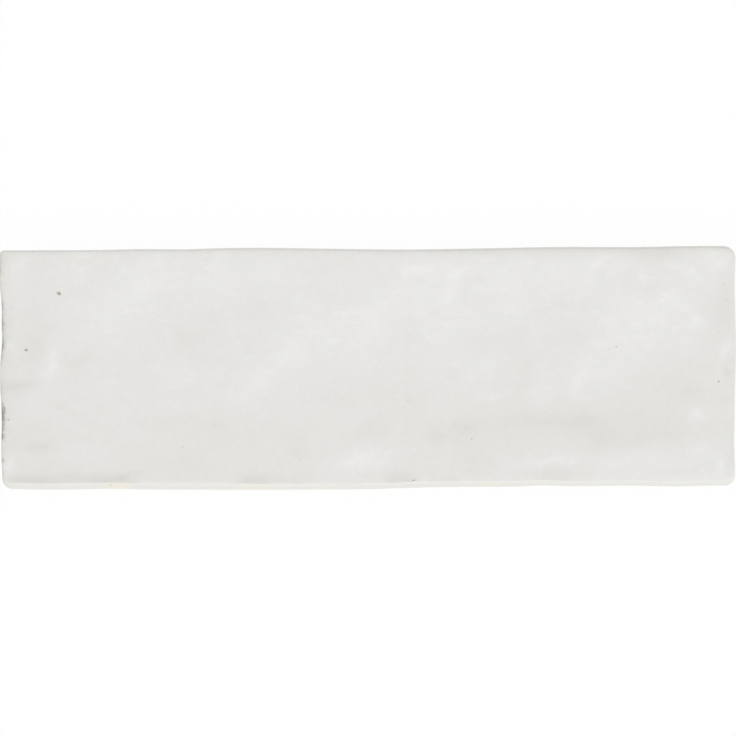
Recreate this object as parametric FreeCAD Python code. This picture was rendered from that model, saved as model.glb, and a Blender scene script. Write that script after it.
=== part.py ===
"""A glazed ceramic wall tile with a hand-made look, lying with its glazed face up.

One fired piece. Its four sides wander like torn clay, each corner has its own rounding, the face
swells unevenly and falls away towards the sides, the south side carries a wider flat bevel with a
raised lip behind it, the west arris is chipped, and the back has the shallow pockets that key it
into the adhesive. Millimetres. X runs along the length from west to east, +Y is north, +Z leaves
the glazed face, and the origin is the middle of the back plane that beds on the wall.
"""

import FreeCAD
import Part
import math
import os

# Overall size, from the middle line of one side to that of the other.
LENGTH = 200.0
WIDTH = 65.0
THICKNESS = 8.3

# How far each side wanders outwards from its straight line: share of the way along, offset.
# South and north run from west to east, west and east run from south to north.
SOUTH_WAVE = [
    (0.00, 0.48), (0.07, 0.65), (0.15, 0.44), (0.20, 0.59), (0.32, 0.70), (0.44, 0.62),
    (0.51, 0.47), (0.56, 0.14), (0.61, -0.09), (0.70, -0.19), (0.74, -0.48), (0.78, -0.30),
    (0.86, -0.44), (0.92, -0.20), (0.95, -0.38), (1.00, -0.46),
]
NORTH_WAVE = [
    (0.00, -0.46), (0.07, -0.42), (0.14, -0.33), (0.19, -0.12), (0.25, -0.17), (0.30, 0.13),
    (0.36, 0.22), (0.45, -0.03), (0.55, -0.23), (0.66, 0.09), (0.76, 0.46), (0.86, 0.44),
    (0.94, 0.71), (1.00, 0.71),
]
WEST_WAVE = [
    (0.00, -0.38), (0.06, -0.36), (0.13, -0.09), (0.18, -0.10), (0.27, -0.28), (0.35, -0.10),
    (0.42, 0.16), (0.51, 0.19), (0.61, -0.34), (0.69, -0.24), (0.75, -0.26), (0.86, 0.28),
    (1.00, 0.28),
]
EAST_WAVE = [
    (0.00, -0.04), (0.10, -0.09), (0.19, -0.26), (0.30, -0.14), (0.37, -0.12), (0.56, 0.22),
    (0.70, 0.09), (0.80, -0.10), (0.87, -0.14), (0.93, 0.08), (1.00, 0.14),
]

# Roundings of the four corners, seen from above.
CORNER_SW = 3.0
CORNER_SE = 2.9
CORNER_NE = 3.3
CORNER_NW = 1.1

# Share of a side, next to a corner, that carries no station.
CLEAR_OF_CORNER = 0.015

# Upper edge of the sides: below the shoulder they stand upright, above it they lean in.
SHOULDER_DROP = 1.5
BEVEL_RUN_WEST = 1.55
BEVEL_RUN_EAST = 1.18
NORTH_LEAN = 0.55
WEST_LEAN = 0.45
EAST_LEAN = 0.35
SHOULDER_RADIUS = 0.8
ARRIS_RADIUS = 0.6
BACK_ARRIS = 0.5

# Fall of the face towards a side, and how far in it reaches.
NORTH_FALL = 0.40
NORTH_REACH = 1.5
WEST_FALL = 0.30
WEST_REACH = 1.1
EAST_FALL = 0.16
EAST_REACH = 1.4

# Raised lip of the face behind the bevel.
LIP_RISE_WEST = 0.24
LIP_RISE_EAST = 0.08
LIP_REACH = 2.2

# Swells of the face: shares of the length and width, height, half length, half breadth, degrees
# that it is turned from the tile's length.
SWELLS = [
    (0.15, 0.72, 0.13, 22.0, 8.0, 40.0),
    (0.42, 0.62, 0.16, 38.0, 9.0, 24.0),
    (0.86, 0.50, 0.13, 26.0, 9.0, 8.0),
    (0.76, 0.29, -0.20, 36.0, 6.0, 3.0),
    (0.88, 0.13, 0.10, 26.0, 5.0, 2.0),
    (0.50, 0.13, 0.09, 8.0, 5.0, 0.0),
    (0.06, 0.35, -0.10, 9.0, 18.0, 0.0),
    (0.97, 0.75, -0.08, 7.0, 10.0, 0.0),
]

# Chips out of the west arris: share of the way north, length, depth.
CHIPS = [
    (0.325, 3.9, 0.36),
    (0.286, 4.6, 0.22),
    (0.217, 1.9, 0.24),
    (0.117, 1.6, 0.15),
]

# Keyed back: rounded square pockets between ribs, inside a plain rim.
POCKET_SIDE = 16.2
POCKET_DEPTH = 0.5
POCKET_CORNER = 1.6
POCKET_DRAFT = 0.35
RIB = 3.0
RIM = 5.0

# Stations that carry the face: spacing along the sides and in the middle, the width of the close
# ones, and how far they run past the sides.
FINE_STEP = 1.0
COARSE_STEP = 5.0
FINE_ZONE = 5.0
OVERRUN = 2.0

# How far the leaning shoulders are drawn on above the face before it trims them.
SPARE = 0.8

# A rounding along an edge takes up no more than this share of the sharpest corner it turns, and a
# pocket's corners no more than this share of its side.
ROUNDING_SHARE = 0.8
POCKET_CORNER_SHARE = 0.45

# Slack in height when edges are picked by where they lie.
SLACK = 0.01


def wave_at(wave, share):
    """The offset of a side at any share of the way along it."""
    held = min(max(share, 0.0), 1.0)
    for (start, low), (end, high) in zip(wave, wave[1:]):
        if held <= end:
            part = (held - start) / (end - start)
            return low + (high - low) * (1 - math.cos(math.pi * part)) / 2
    return wave[-1][1]


def side_curve(wave, first, last, place):
    """A side as a smooth line through its stations, straight on where it meets its corners."""
    run = last - first
    if abs(run.x) > abs(run.y):
        heading = FreeCAD.Vector(run.x, 0, 0)
    else:
        heading = FreeCAD.Vector(0, run.y, 0)

    def travelled(point):
        return (point - first).dot(heading) / run.dot(heading)

    between = [place(share, offset) for share, offset in wave[1:-1]]
    between = [point for point in between if CLEAR_OF_CORNER < travelled(point) < 1 - CLEAR_OF_CORNER]
    points = [first] + between + [last]
    curve = Part.BSplineCurve()
    curve.interpolate(
        Points=points, Parameters=[travelled(point) for point in points],
        InitialTangent=heading, FinalTangent=heading,
    )
    return curve


def outline(height, south_west, south_east, east, north, west):
    """The closed outline of the tile at one height, each side drawn in by its own amount."""
    half_length, half_width = LENGTH / 2, WIDTH / 2
    west_at_south = -half_length - WEST_WAVE[0][1] + west
    west_at_north = -half_length - WEST_WAVE[-1][1] + west
    east_at_south = half_length + EAST_WAVE[0][1] - east
    east_at_north = half_length + EAST_WAVE[-1][1] - east
    south_at_west = -half_width - SOUTH_WAVE[0][1] + south_west
    south_at_east = -half_width - SOUTH_WAVE[-1][1] + south_east
    north_at_west = half_width + NORTH_WAVE[0][1] - north
    north_at_east = half_width + NORTH_WAVE[-1][1] - north

    def at(x, y):
        return FreeCAD.Vector(x, y, height)

    def on_south(share, offset):
        drawn_in = south_west + (south_east - south_west) * share
        return at(-half_length + share * LENGTH, -half_width - offset + drawn_in)

    def on_north(share, offset):
        return at(-half_length + share * LENGTH, half_width + offset - north)

    def on_west(share, offset):
        return at(-half_length - offset + west, -half_width + share * WIDTH)

    def on_east(share, offset):
        return at(half_length + offset - east, -half_width + share * WIDTH)

    def corner(x, y, radius, outward_x, outward_y):
        middle = radius * (1 - math.sqrt(0.5))
        return Part.Arc(
            at(x - outward_x * radius, y),
            at(x - outward_x * middle, y - outward_y * middle),
            at(x, y - outward_y * radius),
        )

    south_side = side_curve(
        SOUTH_WAVE, at(west_at_south + CORNER_SW, south_at_west),
        at(east_at_south - CORNER_SE, south_at_east), on_south,
    )
    east_side = side_curve(
        EAST_WAVE, at(east_at_south, south_at_east + CORNER_SE),
        at(east_at_north, north_at_east - CORNER_NE), on_east,
    )
    north_side = side_curve(
        NORTH_WAVE, at(west_at_north + CORNER_NW, north_at_west),
        at(east_at_north - CORNER_NE, north_at_east), on_north,
    )
    west_side = side_curve(
        WEST_WAVE, at(west_at_south, south_at_west + CORNER_SW),
        at(west_at_north, north_at_west - CORNER_NW), on_west,
    )
    curves = [
        south_side,
        corner(east_at_south, south_at_east, CORNER_SE, 1, -1),
        east_side,
        corner(east_at_north, north_at_east, CORNER_NE, 1, 1),
        north_side,
        corner(west_at_north, north_at_west, CORNER_NW, -1, 1),
        west_side,
        corner(west_at_south, south_at_west, CORNER_SW, -1, -1),
    ]
    return Part.Wire(Part.__sortEdges__([curve.toShape() for curve in curves]))


def face_height(x, y):
    """Height of the glazed face above the back plane."""
    along = x / LENGTH + 0.5
    across = y / WIDTH + 0.5
    z = THICKNESS
    for share_x, share_y, height, length, breadth, degrees in SWELLS:
        turn = math.radians(degrees)
        dx = (along - share_x) * LENGTH
        dy = (across - share_y) * WIDTH
        u = (dx * math.cos(turn) + dy * math.sin(turn)) / length
        v = (dy * math.cos(turn) - dx * math.sin(turn)) / breadth
        z += height * math.exp(-u * u - v * v)
    bevel_run = BEVEL_RUN_WEST + (BEVEL_RUN_EAST - BEVEL_RUN_WEST) * along
    lip_rise = LIP_RISE_WEST + (LIP_RISE_EAST - LIP_RISE_WEST) * along
    from_south = y + WIDTH / 2 + wave_at(SOUTH_WAVE, along) - bevel_run
    from_north = WIDTH / 2 + wave_at(NORTH_WAVE, along) - NORTH_LEAN - y
    from_west = x + LENGTH / 2 + wave_at(WEST_WAVE, across) - WEST_LEAN
    from_east = LENGTH / 2 + wave_at(EAST_WAVE, across) - EAST_LEAN - x
    z += lip_rise * math.exp(-(max(from_south, 0.0) / LIP_REACH) ** 2)
    z -= NORTH_FALL * math.exp(-max(from_north, 0.0) / NORTH_REACH)
    z -= WEST_FALL * math.exp(-max(from_west, 0.0) / WEST_REACH)
    z -= EAST_FALL * math.exp(-max(from_east, 0.0) / EAST_REACH)
    return z


def stations(size):
    """Places across the face: close together along each side, wider apart in the middle."""
    first = -size / 2 - OVERRUN
    count = round((OVERRUN + FINE_ZONE) / FINE_STEP)
    fine = [first + FINE_STEP * index for index in range(count)]
    inner = size / 2 - FINE_ZONE
    count = round(2 * inner / COARSE_STEP)
    coarse = [-inner + 2 * inner * index / count for index in range(count + 1)]
    return fine + coarse + [-place for place in reversed(fine)]


def above_face():
    """Everything over the glazed face, as one block with a swelling underside."""
    grid = []
    for x in stations(LENGTH):
        grid.append([FreeCAD.Vector(x, y, face_height(x, y)) for y in stations(WIDTH)])
    surface = Part.BSplineSurface()
    surface.interpolate(grid)
    return surface.toShape().extrude(FreeCAD.Vector(0, 0, THICKNESS))


def edges_between(shape, low, high):
    """The edges that lie wholly between two heights."""
    return [edge for edge in shape.Edges if edge.BoundBox.ZMin > low and edge.BoundBox.ZMax < high]


def blank():
    """The tile's body: upright sides, leaning shoulders and the swelling face, edges rounded."""
    shoulder = THICKNESS - SHOULDER_DROP
    reach = (SHOULDER_DROP + SPARE) / SHOULDER_DROP
    rings = [
        outline(0, BACK_ARRIS, BACK_ARRIS, BACK_ARRIS, BACK_ARRIS, BACK_ARRIS),
        outline(BACK_ARRIS, 0, 0, 0, 0, 0),
        outline(shoulder, 0, 0, 0, 0, 0),
        outline(
            THICKNESS + SPARE, reach * BEVEL_RUN_WEST, reach * BEVEL_RUN_EAST,
            reach * EAST_LEAN, reach * NORTH_LEAN, reach * WEST_LEAN,
        ),
    ]
    body = Part.makeLoft(rings, True, True).cut(above_face())
    widest = ROUNDING_SHARE * min(CORNER_SW, CORNER_SE, CORNER_NE, CORNER_NW)
    arris = edges_between(body, shoulder + SLACK, THICKNESS + SPARE)
    body = body.makeFillet(min(ARRIS_RADIUS, widest), arris)
    turn = edges_between(body, shoulder - SLACK, shoulder + SLACK)
    return body.makeFillet(min(SHOULDER_RADIUS, widest), turn)


def chip(share, length, depth):
    """A shell-shaped chip out of the west arris."""
    radius = (length ** 2 / 4 + depth ** 2) / (2 * depth)
    x = -LENGTH / 2 - wave_at(WEST_WAVE, share) + WEST_LEAN
    y = (share - 0.5) * WIDTH
    z = face_height(x, y) - ARRIS_RADIUS / 2
    away = (radius - depth) * math.sqrt(0.5)
    return Part.makeSphere(radius, FreeCAD.Vector(x - away, y, z + away))


def rounded_square(side, corner, height):
    """A square outline with rounded corners about the vertical axis."""
    half = side / 2
    middle = corner * (1 - math.sqrt(0.5))
    edges = []
    for turn in range(4):
        start = FreeCAD.Vector(half - corner, -half, height)
        bend = FreeCAD.Vector(half - middle, -half + middle, height)
        end = FreeCAD.Vector(half, -half + corner, height)
        onward = FreeCAD.Vector(half, half - corner, height)
        edges.append(Part.Arc(start, bend, end).toShape())
        edges.append(Part.makeLine(end, onward))
        spin = FreeCAD.Rotation(FreeCAD.Vector(0, 0, 1), 90 * turn)
        for edge in edges[-2:]:
            edge.Placement = FreeCAD.Placement(FreeCAD.Vector(), spin)
    return Part.Wire(edges)


def pocket():
    """One shallow pocket of the back, drafted so that it leaves the press."""
    corner = min(POCKET_CORNER, POCKET_CORNER_SHARE * POCKET_SIDE)
    mouth = rounded_square(POCKET_SIDE, corner, 0)
    floor = rounded_square(POCKET_SIDE - 2 * POCKET_DRAFT, corner - POCKET_DRAFT, POCKET_DEPTH)
    return Part.makeLoft([mouth, floor], True, True)


def pockets():
    """The field of pockets, centred on the back, as many each way as fit inside the rim."""
    pitch = POCKET_SIDE + RIB
    columns = int((LENGTH - 2 * RIM + RIB) // pitch)
    rows = int((WIDTH - 2 * RIM + RIB) // pitch)
    first = pocket()
    field = []
    for column in range(columns):
        for row in range(rows):
            x = (column - (columns - 1) / 2) * pitch
            y = (row - (rows - 1) / 2) * pitch
            field.append(first.translated(FreeCAD.Vector(x, y, 0)))
    return field


tile = blank().cut([chip(*place) for place in CHIPS]).cut(pockets()).Solids[0]

os.makedirs("parts", exist_ok=True)
tile.exportStep("parts/tile.step")
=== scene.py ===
"""Dresses a glazed ceramic wall tile that lies with its glazed face up.

The tile is one fired piece: a pale clay body, and a white glaze that covers the face and laps
unevenly down the four sides. Places are worked out in millimetres and set in metres. X runs along
the length from west to east, +Y is north, +Z leaves the glazed face.
"""

import math

import bmesh
import bpy
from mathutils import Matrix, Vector, noise


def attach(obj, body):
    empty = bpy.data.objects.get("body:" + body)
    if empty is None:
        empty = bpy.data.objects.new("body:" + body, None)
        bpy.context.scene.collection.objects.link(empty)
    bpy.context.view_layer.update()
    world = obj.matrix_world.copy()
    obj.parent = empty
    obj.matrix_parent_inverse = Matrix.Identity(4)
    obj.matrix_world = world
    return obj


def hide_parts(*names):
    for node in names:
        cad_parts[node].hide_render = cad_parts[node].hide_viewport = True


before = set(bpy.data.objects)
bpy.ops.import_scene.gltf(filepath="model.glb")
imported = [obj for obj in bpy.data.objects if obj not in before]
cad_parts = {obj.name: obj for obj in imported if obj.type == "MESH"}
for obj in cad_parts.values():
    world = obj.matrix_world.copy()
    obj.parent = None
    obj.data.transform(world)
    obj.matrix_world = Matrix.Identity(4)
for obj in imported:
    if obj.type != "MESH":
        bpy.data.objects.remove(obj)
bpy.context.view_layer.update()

MM = 0.001

# ---- sizes shared with the solid ----
LENGTH = 200.0
WIDTH = 65.0
THICKNESS = 8.3

# How far each side wanders outwards: share of the way along, offset. South and north run from
# west to east, west and east run from south to north.
SOUTH_WAVE = [
    (0.00, 0.48), (0.07, 0.65), (0.15, 0.44), (0.20, 0.59), (0.32, 0.70), (0.44, 0.62),
    (0.51, 0.47), (0.56, 0.14), (0.61, -0.09), (0.70, -0.19), (0.74, -0.48), (0.78, -0.30),
    (0.86, -0.44), (0.92, -0.20), (0.95, -0.38), (1.00, -0.46),
]
NORTH_WAVE = [
    (0.00, -0.46), (0.07, -0.42), (0.14, -0.33), (0.19, -0.12), (0.25, -0.17), (0.30, 0.13),
    (0.36, 0.22), (0.45, -0.03), (0.55, -0.23), (0.66, 0.09), (0.76, 0.46), (0.86, 0.44),
    (0.94, 0.71), (1.00, 0.71),
]
WEST_WAVE = [
    (0.00, -0.38), (0.06, -0.36), (0.13, -0.09), (0.18, -0.10), (0.27, -0.28), (0.35, -0.10),
    (0.42, 0.16), (0.51, 0.19), (0.61, -0.34), (0.69, -0.24), (0.75, -0.26), (0.86, 0.28),
    (1.00, 0.28),
]
EAST_WAVE = [
    (0.00, -0.04), (0.10, -0.09), (0.19, -0.26), (0.30, -0.14), (0.37, -0.12), (0.56, 0.22),
    (0.70, 0.09), (0.80, -0.10), (0.87, -0.14), (0.93, 0.08), (1.00, 0.14),
]
CORNER_SW = 3.0
CORNER_SE = 2.9
CORNER_NE = 3.3
CORNER_NW = 1.1

# The slope between the face and the upright side: its drop, and its run at each side.
SHOULDER_DROP = 1.5
BEVEL_RUN_WEST = 1.55
BEVEL_RUN_EAST = 1.18
NORTH_LEAN = 0.55
WEST_LEAN = 0.45
EAST_LEAN = 0.35
SHOULDER_RADIUS = 0.8
ARRIS_RADIUS = 0.6
BACK_ARRIS = 0.5

# How the face rolls down to three sides and rises to the lip above the south one.
NORTH_FALL = 0.40
NORTH_REACH = 1.5
WEST_FALL = 0.30
WEST_REACH = 1.1
EAST_FALL = 0.16
EAST_REACH = 1.4
LIP_RISE_WEST = 0.24
LIP_RISE_EAST = 0.08
LIP_REACH = 2.2

# Swells of the face: shares of the length and width, height, half length, half breadth, degrees
# that it is turned from the tile's length.
SWELLS = [
    (0.15, 0.72, 0.13, 22.0, 8.0, 40.0),
    (0.42, 0.62, 0.16, 38.0, 9.0, 24.0),
    (0.86, 0.50, 0.13, 26.0, 9.0, 8.0),
    (0.76, 0.29, -0.20, 36.0, 6.0, 3.0),
    (0.88, 0.13, 0.10, 26.0, 5.0, 2.0),
    (0.50, 0.13, 0.09, 8.0, 5.0, 0.0),
    (0.06, 0.35, -0.10, 9.0, 18.0, 0.0),
    (0.97, 0.75, -0.08, 7.0, 10.0, 0.0),
]

# Chips out of the west arris: share of the way north, length, depth.
CHIPS = [
    (0.325, 3.9, 0.36),
    (0.286, 4.6, 0.22),
    (0.217, 1.9, 0.24),
    (0.117, 1.6, 0.15),
]

# Keyed back.
POCKET_SIDE = 16.2
POCKET_DEPTH = 0.5
POCKET_CORNER = 1.6
POCKET_DRAFT = 0.35
RIB = 3.0
RIM = 5.0

# ---- the net ----
COLUMNS = 320
ROWS = 104
ARRIS_ROWS = 5
BEVEL_ROWS = 3
BEVEL_FIRST_ROW = 0.4
SHOULDER_ROWS = 4
WALL_ROWS = 13
POCKET_STEPS = 4
POCKET_SHARE = 0.8
WAVE_DEPTH = 12.0
CORNER_BLEND = 6.0
TOO_NEAR = 0.01
FACING_DOWN = -0.5
CLOSE_CUTS = 3
FINE_CUTS = 5
MERGE_WITHIN = 1e-6
CREASE = 35.0

# ---- fine relief, made here only ----
# Ripples of the glaze: height, length, breadth, seed.
RIPPLES = ((0.035, 9.0, 7.0, 1.7), (0.010, 3.2, 2.8, 5.1))

# Where the glaze ends on the sides: its height, how that wanders (height, length, seed), how deep
# the step is there, and how high it and the change of colour are.
LAP_HEIGHT = 4.3
LAP_WANDERS = ((1.5, 17.0, 9.3), (0.5, 4.5, 2.2))
GLAZE_DEPTH = 0.12
LAP_STEP = 0.45
LAP_EDGE = 0.5

# The break inside a chip: height and closeness of its roughness, and the margin of closer net.
CHIP_ROUGHNESS = ((0.06, 2.1), (0.03, 6.3))
CHIP_MARGIN = 0.6

# Pinholes in the glaze: place, half length, half breadth, degrees turned, depth, how stained.
PINHOLES = [
    (-84.1, 20.35, 0.70, 0.47, -26, 0.18, 0.90), (-93.0, 4.9, 0.50, 0.38, 20, 0.15, 0.85),
    (95.3, -3.6, 0.32, 0.27, 30, 0.12, 0.80), (67.5, 5.8, 0.24, 0.20, 0, 0.09, 0.55),
    (10.8, -8.7, 0.24, 0.18, 0, 0.09, 0.50), (9.7, -10.7, 0.18, 0.14, 0, 0.07, 0.45),
    (-97.7, -14.1, 0.25, 0.16, 10, 0.08, 0.85), (96.6, 25.9, 0.15, 0.12, 0, 0.05, 0.45),
    (96.6, 22.8, 0.20, 0.15, 0, 0.06, 0.60), (-50.4, -21.5, 0.18, 0.15, 0, 0.07, 0.70),
    (-18.5, -25.0, 0.16, 0.13, 0, 0.06, 0.55), (28.2, -19.2, 0.26, 0.18, 20, 0.08, 0.62),
    (26.0, -20.0, 0.20, 0.14, 0, 0.06, 0.50), (50.9, -15.8, 0.16, 0.13, 0, 0.06, 0.55),
    (56.1, -11.7, 0.15, 0.12, 0, 0.05, 0.50), (4.6, -22.0, 0.14, 0.11, 0, 0.05, 0.50),
    (-61.9, 18.4, 0.16, 0.12, 0, 0.05, 0.40), (-44.3, 29.4, 0.16, 0.18, 0, 0.05, 0.45),
    (27.4, -27.9, 0.20, 0.13, 10, 0.06, 0.50), (98.8, -25.7, 0.15, 0.12, 0, 0.05, 0.45),
    (97.6, 18.6, 0.17, 0.13, 0, 0.05, 0.50), (95.2, 9.7, 0.18, 0.14, 0, 0.05, 0.50),
    (96.0, 27.6, 0.15, 0.12, 0, 0.05, 0.40), (-96.5, 16.5, 0.17, 0.13, 0, 0.05, 0.50),
    (-96.5, 13.5, 0.15, 0.12, 0, 0.05, 0.45), (-94.9, 29.5, 0.15, 0.12, 0, 0.05, 0.40),
    (12.4, -30.5, 0.50, 0.18, 0, 0.07, 0.75), (-70.1, -31.9, 0.22, 0.20, 0, 0.08, 0.80),
    (23.0, -31.6, 0.16, 0.13, 0, 0.05, 0.50), (-98.3, 29.8, 0.14, 0.12, 0, 0.05, 0.40),
]
# The form of a pinhole, in its own half sizes: how much one end tapers, how uneven it is, how
# closely and with what seed, where its edge and rim lie, the rim's breadth and its height to the
# pit's depth, how far all this reaches, and the closer net round it.
PIT_TAPER = 0.4
PIT_UNEVEN = 0.25
PIT_CLOSENESS = 2.4
PIT_SEED = 4.0
PIT_EDGE = 0.95
PIT_RIM = 1.5
PIT_RIM_BREADTH = 0.5
PIT_RIM_RISE = 0.12
PIT_REACH = 3.0
PIT_MARGIN = 2.6
# In millimetres: how far up and down it reaches, how much wider the closer net is, and the half
# length from which this net is the finer one.
PIT_HEADROOM = 1.0
PIT_WIDER = 0.4
LARGE_PINHOLE = 0.45
# How far a painted highlight keeps its stained floor pale, where and how widely, how warm its rim
# is, and the half length at which the rim shows in full.
PIT_HIGHLIGHT = 0.35
PIT_HIGHLIGHT_U = -0.15
PIT_HIGHLIGHT_V = -0.3
PIT_HIGHLIGHT_SPREAD = 0.12
PIT_HALO = 0.7
HALO_FULL = 0.55

# ---- what is noted on the vertices for the finish to read ----
NOTES = ("glaze_cover", "glaze_tone", "warmth", "cream", "peach", "grime", "soil")
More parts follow.
